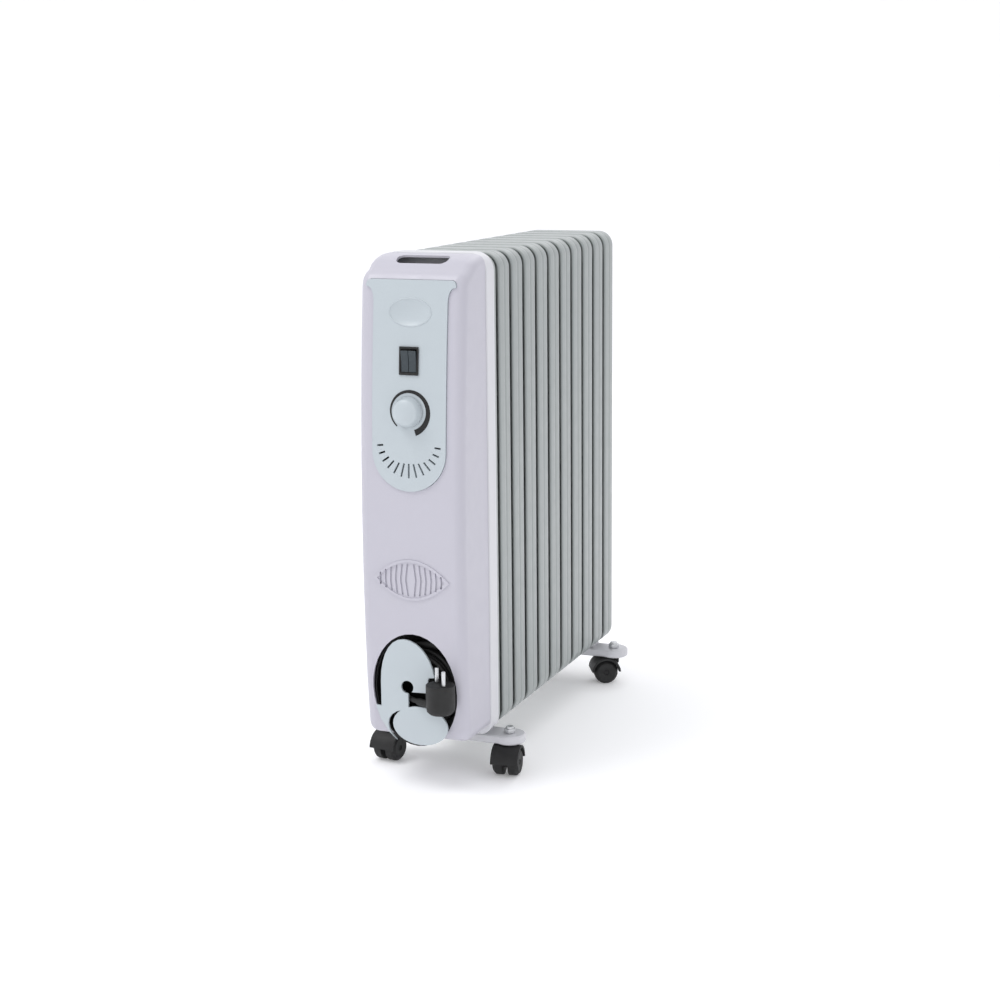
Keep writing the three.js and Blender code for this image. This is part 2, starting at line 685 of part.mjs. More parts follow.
function switchFrame() {
  const bezel = block(0, -GAP - SWITCH_PROUD / 2, 0, SWITCH_WIDTH, SWITCH_PROUD, SWITCH_TALL);
  const body = block(0, SWITCH_DEPTH / 2 - GAP - 0.2, 0, SWITCH_WIDTH - 2, SWITCH_DEPTH + 0.4, SWITCH_TALL - 2);
  const wellDepth = SWITCH_DEPTH - SWITCH_WALL;
  const well = block(0, wellDepth / 2 - 5, 0, 2 * ROCKER_WIDTH + 1.4, wellDepth + 10, ROCKER_TALL + 2.2);
  return onFace(carve(bezel, [body], [well]), SWITCH_HEIGHT);
}

put('switch_frame', switchFrame(), BLACK_PLASTIC());

const ROCKER_PIVOT = 1.2; // behind the panel's face

// A shallow V seen from the side, tipped to one end of its swing.
function rocker(x) {
  const half = ROCKER_TALL / 2;
  const geometry = crossSlab(polygon([
    [-4, -half],
    [-3, 0],
    [-4, half],
    [3, half - 1.2],
    [3, -half + 1.2],
  ]), ROCKER_WIDTH / 2);
  geometry.rotateX(THREE.MathUtils.degToRad(ROCKER_SWING));
  geometry.translate(x, ROCKER_PIVOT, 0);
  return onFace(geometry, SWITCH_HEIGHT);
}

const rockerX = ROCKER_WIDTH / 2 + 0.25;
put('rocker_left', rocker(-rockerX), DARK_PLASTIC());
put('rocker_right', rocker(rockerX), DARK_PLASTIC());

// ---------------------------------------------------------------- thermostat
const THERMOSTAT_FRONT = FASCIA_PROUD + FASCIA_BEHIND + 2 * GAP;
const KNOB_BACK = -1; // the knob's skirt stands this far off the panel
const KNOB_BORE = 9;

function thermostat() {
  const depthAt = THERMOSTAT_FRONT + THERMOSTAT_DEPTH / 2;
  return onFace(block(0, depthAt, 0, THERMOSTAT_SIZE, THERMOSTAT_DEPTH, THERMOSTAT_SIZE), KNOB_HEIGHT);
}

put('thermostat_body', thermostat(), PHENOLIC());
put(
  'thermostat_shaft',
  onFace(rodY(0, 0, SHAFT_RADIUS, KNOB_BACK - KNOB_BORE + GAP, THERMOSTAT_FRONT - GAP, 12), KNOB_HEIGHT),
  BRASS(),
);

function knob() {
  const bore = SHAFT_RADIUS + GAP;
  const geometry = turned([
    [0, KNOB_BORE],
    [bore, KNOB_BORE],
    [bore, 0],
    [KNOB_RADIUS, 0],
    [KNOB_RADIUS - 0.5, 5],
    [KNOB_RADIUS - 3, 11],
    [KNOB_RADIUS - 8, 14],
    [0, KNOB_LENGTH],
  ], 22);
  geometry.rotateX(Math.PI);
  geometry.translate(0, KNOB_BACK, 0);
  return onFace(geometry, KNOB_HEIGHT);
}

put('thermostat_knob', knob(), FASCIA_PLASTIC());

const TERMINAL = { width: 36, depth: 14, height: 18, z: 300 };
put(
  'terminal_block',
  block(
    0,
    SHELL_FRONT - GAP - TERMINAL.depth / 2,
    TERMINAL.z,
    TERMINAL.width,
    TERMINAL.depth,
    TERMINAL.height,
  ),
  PHENOLIC(),
);

// ---------------------------------------------------------------- cord reel
const cordRadius = CORD_DIAMETER / 2;
const glandY = COIL_FRONT + cordRadius + 0.2;

// A round rod along X.
function rodX(radius, left, right, y, z, sides) {
  const geometry = new THREE.CylinderGeometry(radius, radius, right - left, sides);
  geometry.rotateZ(Math.PI / 2);
  geometry.translate((left + right) / 2, y, z);
  return geometry;
}

function reelTub() {
  const outer = slab(ellipse(0, REEL_HEIGHT, TUB_HALF_WIDTH, TUB_HALF_HEIGHT, 36), TUB_FRONT, TUB_BACK);
  const inner = slab(
    ellipse(0, REEL_HEIGHT, TUB_HALF_WIDTH - TUB_WALL, TUB_HALF_HEIGHT - TUB_WALL, 36),
    TUB_FRONT - 5,
    TUB_BACK - TUB_WALL,
  );
  const glandHole = rodX(GLAND_RADIUS + GAP, GLAND_TIP_X, GLAND_BACK_X + 20, glandY, GLAND_HEIGHT, 12);
  return carve(outer, [], [inner, glandHole]);
}

put('cord_reel_tub', reelTub(), BLACK_PLASTIC());

const HUB_OPEN_FROM = 60; // degrees from +X, where the hub's wall leaves a way for the cord
const HUB_OPEN_TO = 166;
const hubOuter = COIL_INNER - 0.6;

function reelHub() {
  const shape = new THREE.Shape();
  const start = THREE.MathUtils.degToRad(HUB_OPEN_TO);
  const end = THREE.MathUtils.degToRad(360 + HUB_OPEN_FROM);
  shape.absarc(0, REEL_HEIGHT, hubOuter, start, end, false);
  shape.absarc(0, REEL_HEIGHT, hubOuter - HUB_WALL, end, start, true);
  return slab(shape, FLANGE_FRONT + FLANGE_THICK + GAP, TUB_BACK - TUB_WALL - GAP, { curveSegments: 14 });
}

put('cord_reel_hub', reelHub(), BLACK_PLASTIC());

function reelFlange() {
  const petal = new THREE.Shape();
  petal.moveTo(-43, -22);
  petal.lineTo(-43, 9);
  petal.bezierCurveTo(-43, 40, -31, 64, -12, 64);
  petal.bezierCurveTo(8, 64, 24, 44, 28, 20);
  petal.lineTo(20, 19);
  petal.lineTo(17, 0);
  petal.lineTo(-7, -1);
  petal.lineTo(-7, -22);
  petal.lineTo(-14, -24);
  petal.bezierCurveTo(-38, -29, -40, -49, -23, -63);
  for (const angle of [232, 214, 198]) {
    const turn = THREE.MathUtils.degToRad(angle);
    petal.lineTo((TUB_HALF_WIDTH - 2) * Math.cos(turn), (TUB_HALF_HEIGHT - 2) * Math.sin(turn));
  }
  const upper = slab(petal, FLANGE_FRONT, FLANGE_FRONT + FLANGE_THICK, { curveSegments: 7 });
  upper.translate(0, 0, REEL_HEIGHT);
  const disc = slab(
    ellipse(DISC_X, DISC_HEIGHT, DISC_HALF_WIDTH, DISC_HALF_HEIGHT, 32),
    FLANGE_FRONT,
    FLANGE_FRONT + FLANGE_THICK,
  );
  const eye = rodY(REEL_EYE_X, REEL_EYE_HEIGHT, REEL_EYE_RADIUS, -10, 10, 20);
  return carve(upper, [disc], [eye]);
}

put('cord_reel_flange', reelFlange(), COVER_PLASTIC());

// ---------------------------------------------------------------- cord
function coilRing() {
  const geometry = turned([
    [COIL_INNER, COIL_FRONT],
    [COIL_OUTER, COIL_FRONT],
    [COIL_OUTER, COIL_BACK],
    [COIL_INNER, COIL_BACK],
    [COIL_INNER, COIL_FRONT],
  ], 32);
  geometry.translate(0, 0, REEL_HEIGHT);
  return geometry;
}

put('cord_coil', coilRing(), RUBBER());

function gland() {
  const length = GLAND_BACK_X - GLAND_TIP_X;
  const geometry = turned([
    [0, 0],
    [GLAND_RADIUS, 0],
    [GLAND_RADIUS, 14],
    [GLAND_RADIUS - 1, length],
    [0, length],
  ], 12);
  geometry.rotateZ(Math.PI / 2);
  geometry.translate(GLAND_BACK_X, glandY, GLAND_HEIGHT);
  return geometry;
}

put('cord_gland', gland(), BLACK_PLASTIC());

const leadStart = GLAND_TIP_X - GAP;
const LEAD_ROUTE = [
  [leadStart, glandY, GLAND_HEIGHT],
  [leadStart - 8, glandY, GLAND_HEIGHT - 0.1],
  [leadStart - 16, glandY, GLAND_HEIGHT - 2],
  [leadStart - 23, glandY, GLAND_HEIGHT - 5],
];
const hubInner = hubOuter - HUB_WALL;
const TAIL_ROUTE = [
  [-0.79 * hubInner, 15.6, REEL_HEIGHT + 0.378 * hubInner],
  [-0.727 * hubInner, 14, REEL_HEIGHT + 0.116 * hubInner],
  [-0.538 * hubInner, 11.4, REEL_HEIGHT - 0.157 * hubInner],
  [RELIEF_X - 15.5, RELIEF_Y + 7, RELIEF_END.z + 1.1],
  [RELIEF_X - 7, RELIEF_Y + 3.2, RELIEF_END.z + 0.1],
  [RELIEF_X - GAP, RELIEF_Y + 0.13, RELIEF_END.z],
];
const toVectors = (route) => route.map(([x, y, z]) => new THREE.Vector3(x, y, z));
put('cord_lead', cordTube(toVectors(LEAD_ROUTE), cordRadius, 4), RUBBER());
put('cord_tail', cordTube(toVectors(TAIL_ROUTE), cordRadius, 12), RUBBER());

// ---------------------------------------------------------------- plug
function plugBody() {
  const middle = new THREE.Vector3(PLUG_X, PLUG_Y, RELIEF_END.z);
  const body = turned([
    [0, PLUG_BOTTOM],
    [PLUG_RADIUS - 4, PLUG_BOTTOM],
    [PLUG_RADIUS - 1, PLUG_BOTTOM + 3],
    [PLUG_RADIUS, PLUG_BOTTOM + 8],
    [PLUG_RADIUS, PLUG_TOP],
    [0, PLUG_TOP],
  ], 20);
  body.rotateX(Math.PI / 2);
  body.translate(PLUG_X, PLUG_Y, 0);
  const away = middle.clone().sub(RELIEF_END);
  const length = away.length() - PLUG_RADIUS / 2;
  const relief = turned([
    [0, 0],
    [4.2, 0],
    [5.4, length],
    [0, length],
  ], 12);
  const turn = new THREE.Quaternion().setFromUnitVectors(new THREE.Vector3(0, 1, 0), away.normalize());
  relief.applyQuaternion(turn);
  relief.translate(RELIEF_END.x, RELIEF_END.y, RELIEF_END.z);
  return carve(body, [relief], []);
}

put('plug_body', plugBody(), BLACK_PLASTIC());

const pinAngle = THREE.MathUtils.degToRad(PIN_TURN);
for (const side of [-1, 1]) {
  const x = PLUG_X + (side * PIN_SPACING * Math.cos(pinAngle)) / 2;
  const y = PLUG_Y + (side * PIN_SPACING * Math.sin(pinAngle)) / 2;
  const name = side < 0 ? 'plug_pin_rear' : 'plug_pin_front';
  put(name, rodZ(x, y, PIN_RADIUS, PLUG_TOP + GAP, PLUG_TOP + PIN_LENGTH, 12), STEEL());
}

// ---------------------------------------------------------------- castor bars
function barOutline(inset) {
  const shape = new THREE.Shape();
  const half = BAR_WIDTH / 2 - inset;
  const ear = EAR_RADIUS - inset;
  const meet = CASTOR_X - Math.sqrt(ear ** 2 - half ** 2);
  const angle = Math.atan2(half, meet - CASTOR_X);
  shape.moveTo(-meet, -half);
  shape.lineTo(meet, -half);
  shape.absarc(CASTOR_X, 0, ear, -angle, angle, false);
  shape.lineTo(-meet, half);
  shape.absarc(-CASTOR_X, 0, ear, Math.PI - angle, Math.PI + angle, false);
  return shape;
}

const uBoltX = HEADER_RADIUS + U_BOLT_RADIUS + 1;

function castorBar(y, gapY) {
  const outer = plate(barOutline(0), BAR_TOP - BAR_SKIRT, BAR_TOP, 1.6, 1, 5);
  const inner = plate(barOutline(BAR_SHEET), BAR_TOP - BAR_SKIRT - 5, BAR_TOP - BAR_SHEET, 0, 1, 5);
  const saddle = block(0, 0, BAR_TOP + SADDLE_HEIGHT / 2 - 0.5, SADDLE_LENGTH, SADDLE_WIDTH, SADDLE_HEIGHT + 1);
  const cuts = [inner];
  for (const side of [-1, 1]) {
    cuts.push(rodZ(side * CASTOR_X, 0, STEM_RADIUS + GAP, 20, 60, 12));
    cuts.push(rodZ(side * uBoltX, gapY - y, U_BOLT_RADIUS + 0.5, 20, 60, 8));
  }
  const geometry = carve(outer, [saddle], cuts);
  geometry.translate(0, y, 0);
  return geometry;
}

const frontGapY = FIRST_FIN_Y + FIN_PITCH / 2;
const rearGapY = LAST_FIN_Y - FIN_PITCH / 2;
put('castor_bar_front', castorBar(FRONT_BAR_Y, frontGapY), ENAMEL());
put('castor_bar_rear', castorBar(REAR_BAR_Y, rearGapY), ENAMEL());

const U_BOLT_END = BAR_TOP - BAR_SKIRT + 1;

function uBolt(y) {
  const legs = [-1, 1].map((side) => new THREE.Vector3(side * uBoltX, y, U_BOLT_END));
  const crown = [];
  const steps = 8;
  for (let i = 0; i <= steps; i += 1) {
    const angle = Math.PI - (i / steps) * Math.PI;
    crown.push(new THREE.Vector3(uBoltX * Math.cos(angle), y, HEADER_BOTTOM_Z + uBoltX * Math.sin(angle)));
  }
  return cordTube([legs[0], ...crown, legs[1]], U_BOLT_RADIUS, 20, 6);
}

function wingNut(x, y) {
  const hub = rodZ(x, y, 5.5, BAR_TOP - BAR_SHEET - GAP - 5, BAR_TOP - BAR_SHEET - GAP, 12);
  const wings = block(x, y, BAR_TOP - BAR_SHEET - GAP - 3.4, 20, 2, 6);
  return carve(hub, [wings], [rodZ(x, y, U_BOLT_RADIUS + GAP, 20, 60, 12)]);
}

for (const [end, y] of [['front', frontGapY], ['rear', rearGapY]]) {
  put(`u_bolt_${end}`, uBolt(y), STEEL());
  put(`wing_nut_${end}_left`, wingNut(-uBoltX, y), STEEL());
  put(`wing_nut_${end}_right`, wingNut(uBoltX, y), STEEL());
}

// ---------------------------------------------------------------- castors
// A castor is drawn trailing along +Y from its swivel axis, then turned about that axis.
function castorHood() {
  const outerRadius = HOOD_INNER + HOOD_WALL;
  const arch = new THREE.Shape();
  const low = THREE.MathUtils.degToRad(4);
  const high = THREE.MathUtils.degToRad(176);
  arch.absarc(CASTOR_TRAIL, WHEEL_RADIUS, outerRadius, low, high, false);
  arch.absarc(CASTOR_TRAIL, WHEEL_RADIUS, HOOD_INNER, high, low, true);
  const hood = crossSlab(arch, HOOD_HALF_WIDTH, 0, 1, 8);
  const webHalf = WHEEL_INNER_FACE - GAP;
  const web = crossSlab(polygon([
    [CASTOR_TRAIL - 8, WHEEL_RADIUS - 5],
    [CASTOR_TRAIL + 8, WHEEL_RADIUS - 5],
    [CASTOR_TRAIL + 17, WHEEL_RADIUS + 10],
    [CASTOR_TRAIL + 8, WHEEL_RADIUS + HOOD_INNER + 0.6],
    [-7, WHEEL_RADIUS + HOOD_INNER + 0.6],
    [-7, WHEEL_RADIUS + 12],
  ]), webHalf);
  const boss = rodZ(0, 0, BOSS_RADIUS, WHEEL_RADIUS + HOOD_INNER - 0.4, BOSS_TOP, 14);
  const axle = new THREE.CylinderGeometry(
    AXLE_RADIUS,
    AXLE_RADIUS,
    2 * (WHEEL_INNER_FACE + WHEEL_WIDTH - 2),
    10,
  );
  axle.rotateZ(Math.PI / 2);
  axle.translate(0, CASTOR_TRAIL, WHEEL_RADIUS);
  const socket = rodZ(0, 0, STEM_RADIUS + GAP, BOSS_TOP - 9, BOSS_TOP + 5, 16);
  return carve(hood, [web, boss, axle], [socket]);
}

function castorWheel(side) {
  const bore = AXLE_RADIUS + GAP;
  const width = WHEEL_WIDTH;
  const wheel = turned([
    [bore, 0],
    [WHEEL_RADIUS, 0],
    [WHEEL_RADIUS, width - 4],
    [WHEEL_RADIUS - 4, width],
    [bore, width - 1],
    [bore, 0],
  ], WHEEL_SIDES);
  wheel.rotateY(Math.PI / WHEEL_SIDES); // a flat of the tread rests on the floor
  wheel.rotateZ(side < 0 ? Math.PI / 2 : -Math.PI / 2);
  wheel.translate(side * WHEEL_INNER_FACE, CASTOR_TRAIL, WHEEL_RADIUS);
  return wheel;
}

function castorBolt() {
  const stem = rodZ(0, 0, STEM_RADIUS, BOSS_TOP - 8.5, BAR_TOP + 1, 12);
  const head = rodZ(0, 0, 7.5, BAR_TOP + GAP, BAR_TOP + 6, 6);
  const cap = rodZ(0, 0, 5, BAR_TOP + 5, BAR_TOP + 8.5, 12);
  return carve(stem, [head, cap], []);
}

const CASTORS = [
  { name: 'front_left', x: -CASTOR_X, y: FRONT_BAR_Y, turn: 172 },
  { name: 'front_right', x: CASTOR_X, y: FRONT_BAR_Y, turn: 188 },
  { name: 'rear_left', x: -CASTOR_X, y: REAR_BAR_Y, turn: 242 },
  { name: 'rear_right', x: CASTOR_X, y: REAR_BAR_Y, turn: 118 },
];

for (const castor of CASTORS) {
  const angle = THREE.MathUtils.degToRad(castor.turn);
  const place = (geometry) => {
    geometry.rotateZ(angle);
    geometry.translate(castor.x, castor.y, 0);
    return geometry;
  };
  put(`castor_hood_${castor.name}`, place(castorHood()), BLACK_PLASTIC());
  put(`castor_wheel_a_${castor.name}`, place(castorWheel(-1)), BLACK_PLASTIC());
  put(`castor_wheel_b_${castor.name}`, place(castorWheel(1)), BLACK_PLASTIC());
  put(`castor_bolt_${castor.name}`, place(castorBolt()), STEEL());
}

// ---------------------------------------------------------------- origin
// The heater without its cord is centred over the origin and stands on z = 0.
const CORD_NODES = ['cord_coil', 'cord_lead', 'cord_tail', 'plug_body', 'plug_pin_rear', 'plug_pin_front'];
const box = new THREE.Box3();
for (const mesh of heater.children) {
  if (!CORD_NODES.includes(mesh.name)) {
    mesh.geometry.computeBoundingBox();
    box.union(mesh.geometry.boundingBox);
  }
}
const middle = box.getCenter(new THREE.Vector3());
for (const mesh of heater.children) {
  mesh.position.set(-middle.x, -middle.y, -box.min.z);
}

export default heater;
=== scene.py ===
import bmesh
import bpy
import json
import math
from mathutils import Matrix, Vector


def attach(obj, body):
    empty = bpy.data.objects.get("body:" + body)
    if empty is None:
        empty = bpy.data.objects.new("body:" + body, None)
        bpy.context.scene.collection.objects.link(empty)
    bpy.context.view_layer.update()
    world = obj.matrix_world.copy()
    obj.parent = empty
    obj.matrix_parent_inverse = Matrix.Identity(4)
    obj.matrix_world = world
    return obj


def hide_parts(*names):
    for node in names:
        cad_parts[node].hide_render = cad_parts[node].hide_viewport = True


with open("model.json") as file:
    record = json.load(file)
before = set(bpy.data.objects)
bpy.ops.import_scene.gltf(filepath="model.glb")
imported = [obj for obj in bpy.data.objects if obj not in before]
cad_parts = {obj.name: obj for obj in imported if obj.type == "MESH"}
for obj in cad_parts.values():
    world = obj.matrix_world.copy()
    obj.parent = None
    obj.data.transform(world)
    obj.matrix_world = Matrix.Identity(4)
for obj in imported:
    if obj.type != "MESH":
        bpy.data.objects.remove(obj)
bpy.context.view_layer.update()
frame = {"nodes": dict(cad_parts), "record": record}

# The shapes below are laid out in millimetres from the middle of the box's front face and the floor.
SHIFT_Y = 265.6815
SHIFT_Z = 0.2093


def place(x, y, z):
    return Vector((x / 1000, (y - SHIFT_Y) / 1000, (z - SHIFT_Z) / 1000))


# ------------------------------------------------------------------ camera
CAMERA_AT = Vector((0.907, -2.193, 0.804))
yaw, pitch, roll = math.radians(22.34), math.radians(11.77), math.radians(-0.60)
forward = Vector((-math.sin(yaw) * math.cos(pitch), math.cos(yaw) * math.cos(pitch), -math.sin(pitch)))
level = Vector((math.cos(yaw), math.sin(yaw), 0))
rise = level.cross(forward)
right = level * math.cos(roll) + rise * math.sin(roll)
top = rise * math.cos(roll) - level * math.sin(roll)
camera_data = bpy.data.cameras.new("camera")
camera_data.sensor_width = 36
camera_data.lens = 66.74
camera_data.clip_start = 0.05
camera_data.clip_end = 50
camera = bpy.data.objects.new("camera", camera_data)
bpy.context.scene.collection.objects.link(camera)
camera.matrix_world = Matrix((
    (right.x, top.x, -forward.x, CAMERA_AT.x),
    (right.y, top.y, -forward.y, CAMERA_AT.y),
    (right.z, top.z, -forward.z, CAMERA_AT.z),
    (0, 0, 0, 1),
))
bpy.context.scene.camera = camera


# ------------------------------------------------------------------ materials
def surface(name, color, rough, metal=0.0, coat=0.0, grain=900.0, bump=0.02, cloud=0.03, scuff=0.06):
    """A procedural finish: fine grain in the relief, slow clouds in the colour, scuffs in the gloss."""
    mat = bpy.data.materials.new(name)
    mat.use_nodes = True
    nodes, links = mat.node_tree.nodes, mat.node_tree.links
    shader = nodes["Principled BSDF"]
    shader.inputs["Metallic"].default_value = metal
    shader.inputs["Coat Weight"].default_value = coat
    shader.inputs["Coat Roughness"].default_value = 0.25
    where = nodes.new("ShaderNodeTexCoord")
    slow = nodes.new("ShaderNodeTexNoise")
    slow.inputs["Scale"].default_value = 9.0
    slow.inputs["Detail"].default_value = 4.0
    links.new(where.outputs["Object"], slow.inputs["Vector"])
    tint = nodes.new("ShaderNodeMix")
    tint.data_type = "RGBA"
    tint.inputs[6].default_value = (*[c * (1 - cloud) for c in color], 1)
    tint.inputs[7].default_value = (*[min(1, c * (1 + cloud)) for c in color], 1)
    links.new(slow.outputs["Fac"], tint.inputs[0])
    links.new(tint.outputs[2], shader.inputs["Base Color"])
    wear = nodes.new("ShaderNodeTexNoise")
    wear.inputs["Scale"].default_value = 60.0
    wear.inputs["Detail"].default_value = 6.0
    links.new(where.outputs["Object"], wear.inputs["Vector"])
    gloss = nodes.new("ShaderNodeMapRange")
    gloss.inputs["From Min"].default_value = 0.3
    gloss.inputs["From Max"].default_value = 0.7
    gloss.inputs["To Min"].default_value = max(0.02, rough - scuff)
    gloss.inputs["To Max"].default_value = min(1.0, rough + scuff)
    links.new(wear.outputs["Fac"], gloss.inputs["Value"])
    links.new(gloss.outputs["Result"], shader.inputs["Roughness"])
    fine = nodes.new("ShaderNodeTexNoise")
    fine.inputs["Scale"].default_value = grain
    fine.inputs["Detail"].default_value = 3.0
    links.new(where.outputs["Object"], fine.inputs["Vector"])
    relief = nodes.new("ShaderNodeBump")
    relief.inputs["Strength"].default_value = bump
    relief.inputs["Distance"].default_value = 0.001
    links.new(fine.outputs["Fac"], relief.inputs["Height"])
    links.new(relief.outputs["Normal"], shader.inputs["Normal"])
    return mat


FINISH = {
    "enamel": surface("enamel", (0.3, 0.325, 0.32), 0.36, coat=0.15, grain=700, bump=0.06, cloud=0.02),
    "cover_plastic": surface("cover_plastic", (0.5, 0.49, 0.55), 0.4, grain=1600, bump=0.05, cloud=0.015),
    "fascia_plastic": surface(
        "fascia_plastic", (0.475, 0.525, 0.555), 0.36, grain=1600, bump=0.04, cloud=0.015,
    ),
    "black_plastic": surface("black_plastic", (0.007, 0.007, 0.007), 0.6, grain=1400, bump=0.15, cloud=0.12),
    "dark_plastic": surface("dark_plastic", (0.03, 0.042, 0.05), 0.34, grain=1500, bump=0.05, cloud=0.08),
    "cord_rubber": surface("cord_rubber", (0.008, 0.008, 0.008), 0.6, grain=1100, bump=0.2, cloud=0.15),
    "steel": surface(
        "steel", (0.6, 0.61, 0.62), 0.3, metal=1.0, grain=500, bump=0.12, cloud=0.08, scuff=0.12,
    ),
    "copper": surface("copper", (0.62, 0.36, 0.24), 0.38, metal=1.0, grain=400, bump=0.1, cloud=0.1),
    "brass_parts": surface("brass_parts", (0.66, 0.5, 0.24), 0.34, metal=1.0, grain=400, bump=0.1, cloud=0.1),
    "phenolic": surface("phenolic", (0.74, 0.7, 0.6), 0.6, grain=600, bump=0.2, cloud=0.08),
}
# A lighter copy of the enamel: painted highlight for the lit stripe along the rear shell's edge and the lit
# tops of the castor bars.
FINISH["enamel_painted_highlight"] = surface(
    "enamel_painted_highlight", (0.61, 0.61, 0.64), 0.34, coat=0.15, grain=700, bump=0.06, cloud=0.02,
)
SLOT_OF = {part["node"]: part["material_slot"] for part in frame["record"]["subparts"]}
BODY_OF = {}
for body, members in frame["record"]["behaviour"]["bodies"].items():
    for member in members:
        BODY_OF[member] = body


# ------------------------------------------------------------------ mesh helpers
def ease(value):
    """A smooth step from 0 to 1."""
    value = max(0.0, min(1.0, value))
    return value * value * (3 - 2 * value)


def finish_piece(obj, slot, body, *nodes):
    obj.data.materials.clear()
    obj.data.materials.append(FINISH[slot])
    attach(obj, body)
    if nodes:
        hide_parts(*nodes)
    return obj


def mesh_object(name, points, faces, crease=35):
    data = bpy.data.meshes.new(name)
    data.from_pydata([tuple(p) for p in points], [], faces)
    data.validate()
    data.shade_smooth()
    data.set_sharp_from_angle(angle=math.radians(crease))
    obj = bpy.data.objects.new(name, data)
    bpy.context.scene.collection.objects.link(obj)
    return obj


def soften(obj, width, segments=3, crease=32):
    """Rounds the sharp edges of a piece and evens out its shading."""
    bevel = obj.modifiers.new("round_edges", "BEVEL")
    bevel.width = width / 1000
    bevel.segments = segments
    bevel.limit_method = "ANGLE"
    bevel.angle_limit = math.radians(crease)
    bevel.use_clamp_overlap = True
    even = obj.modifiers.new("even_shading", "WEIGHTED_NORMAL")
    even.keep_sharp = True
    even.weight = 80


def from_cad(node, width, crease=32, segments=3):
    """A copy of a CAD node with welded faces, rounded edges and smooth shading."""
    data = frame["nodes"][node].data.copy()
    obj = bpy.data.objects.new("look_" + node, data)
    bpy.context.scene.collection.objects.link(obj)
    weld_and_merge(data)
    data.shade_smooth()
    soften(obj, width, segments, crease)
    return finish_piece(obj, SLOT_OF[node], BODY_OF[node], node)


def weld_and_merge(data):
    work = bmesh.new()
    work.from_mesh(data)
    bmesh.ops.remove_doubles(work, verts=work.verts, dist=1e-6)
    bmesh.ops.dissolve_limit(
        work,
        angle_limit=math.radians(0.4),
        use_dissolve_boundaries=False,
        verts=work.verts,
        edges=work.edges,
    )
    for edge in work.edges:
        edge.smooth = True
    work.to_mesh(data)
    work.free()


# ------------------------------------------------------------------ cord
CORD_RADIUS = 3.25
REEL_Z = 127.0
OUTER_ROW, INNER_ROW, ROW_PITCH = 47.85, 41.1, 6.7
FRONT_ROW_Y = 17.6
LEAD_RADIUS = 56.1
TAIL_BEND, TAIL_BEND_RISE = 27.2, 13.7
# Angles round the reel in degrees, counted on from turn to turn.
LEAD_FROM, OUTER_FROM, CROSSING_FROM, INNER_FROM, COIL_END = 86, 200, 920, 1010, 1880


def around(radius, degrees, y):
    angle = math.radians(degrees)
    return [radius * math.cos(angle), y, REEL_Z + radius * math.sin(angle)]


def cord_route():
    """The cord's middle line: the lead in, two outer turns, the crossing, the inner turns and the tail."""
    route = [[4, FRONT_ROW_Y, REEL_Z + 56]]
    back_y = FRONT_ROW_Y + 2 * ROW_PITCH
    for degrees in range(90, COIL_END + 1, 6):
        if degrees < OUTER_FROM:
            share = (degrees - LEAD_FROM) / (OUTER_FROM - LEAD_FROM)
            route.append(around(LEAD_RADIUS + (OUTER_ROW - LEAD_RADIUS) * share, degrees, FRONT_ROW_Y))
        elif degrees < CROSSING_FROM:
            y = FRONT_ROW_Y + ROW_PITCH * (degrees - OUTER_FROM) / 360
            route.append(around(OUTER_ROW, degrees, y))
        elif degrees < INNER_FROM:
            share = ease((degrees - CROSSING_FROM) / (INNER_FROM - CROSSING_FROM))
            route.append(around(OUTER_ROW + (INNER_ROW - OUTER_ROW) * share, degrees, back_y))
        else:
            y = back_y - ROW_PITCH * (degrees - INNER_FROM) / 360
            route.append(around(INNER_ROW, degrees, y))
    for degrees in range(92, 181, 8):
        angle = math.radians(degrees)
        share = (degrees - 84) / 96
        route.append([
            TAIL_BEND * math.cos(angle),
            14.8 + 0.8 * share,
            REEL_Z + TAIL_BEND_RISE + TAIL_BEND * math.sin(angle),
        ])
    tail = [
        [-25, 14, REEL_Z + 4],
        [-22.5, 12.8, REEL_Z - 1],
        [-18.5, 11.4, REEL_Z - 5.4],
        [-14.3, 9.9, REEL_Z - 8.5],
        [-9.5, 8.2, REEL_Z - 10.4],
        [-5.2, 6.4, REEL_Z - 11.1],
        [-1, 4.4, REEL_Z - 11.4],
        [5.7, 1.33, REEL_Z - 11.5],
    ]
    return [place(*p) for p in route + tail]


route = cord_route()
cord_curve = bpy.data.curves.new("cord", "CURVE")
cord_curve.dimensions = "3D"
cord_curve.bevel_depth = CORD_RADIUS / 1000
cord_curve.bevel_resolution = 5
cord_curve.use_fill_caps = True
spline = cord_curve.splines.new("POLY")
spline.points.add(len(route) - 1)
for point, where in zip(spline.points, route):
    point.co = (*where, 1)
spline.use_smooth = True
cord = bpy.data.objects.new("cord", cord_curve)
bpy.context.scene.collection.objects.link(cord)
finish_piece(cord, "cord_rubber", "heater", "cord_lead", "cord_coil", "cord_tail")

plug = from_cad("plug_body", 1.6, 40)
pins = [from_cad("plug_pin_rear", 1.0), from_cad("plug_pin_front", 1.0)]


# ------------------------------------------------------------------ fins
FIN_HALF, FIN_LOW, FIN_HIGH, FIN_CORNER = 66.0, 55.0, 643.0, 20.0
FIN_PITCH, FIRST_FIN, FIN_COUNT = 43.0, 97.5, 11
PANEL_INSET, PANEL_HALF = 9, 3.4
PANEL_CORNER = 11
PANEL_COLUMNS, PANEL_ROWS = 28, 110
CHANNEL_OUT, CHANNEL_REACH, CHANNEL_HEIGHT = 30, 17, 5.5
CHANNEL_LOW, CHANNEL_HIGH, CHANNEL_END = 93, 597, 30
HEADERS = (573.0, 117.0)
HEADER_RADIUS, HEADER_END_RADIUS, HEADER_END = 24, 23.2, 1.2
HEADER_SIDES, HEADER_GAP, HEADER_START = 36, 0.15, 3
DOME_HEIGHT, DOME_REACH, DOME_SLOPE = 6.5, 44, 14


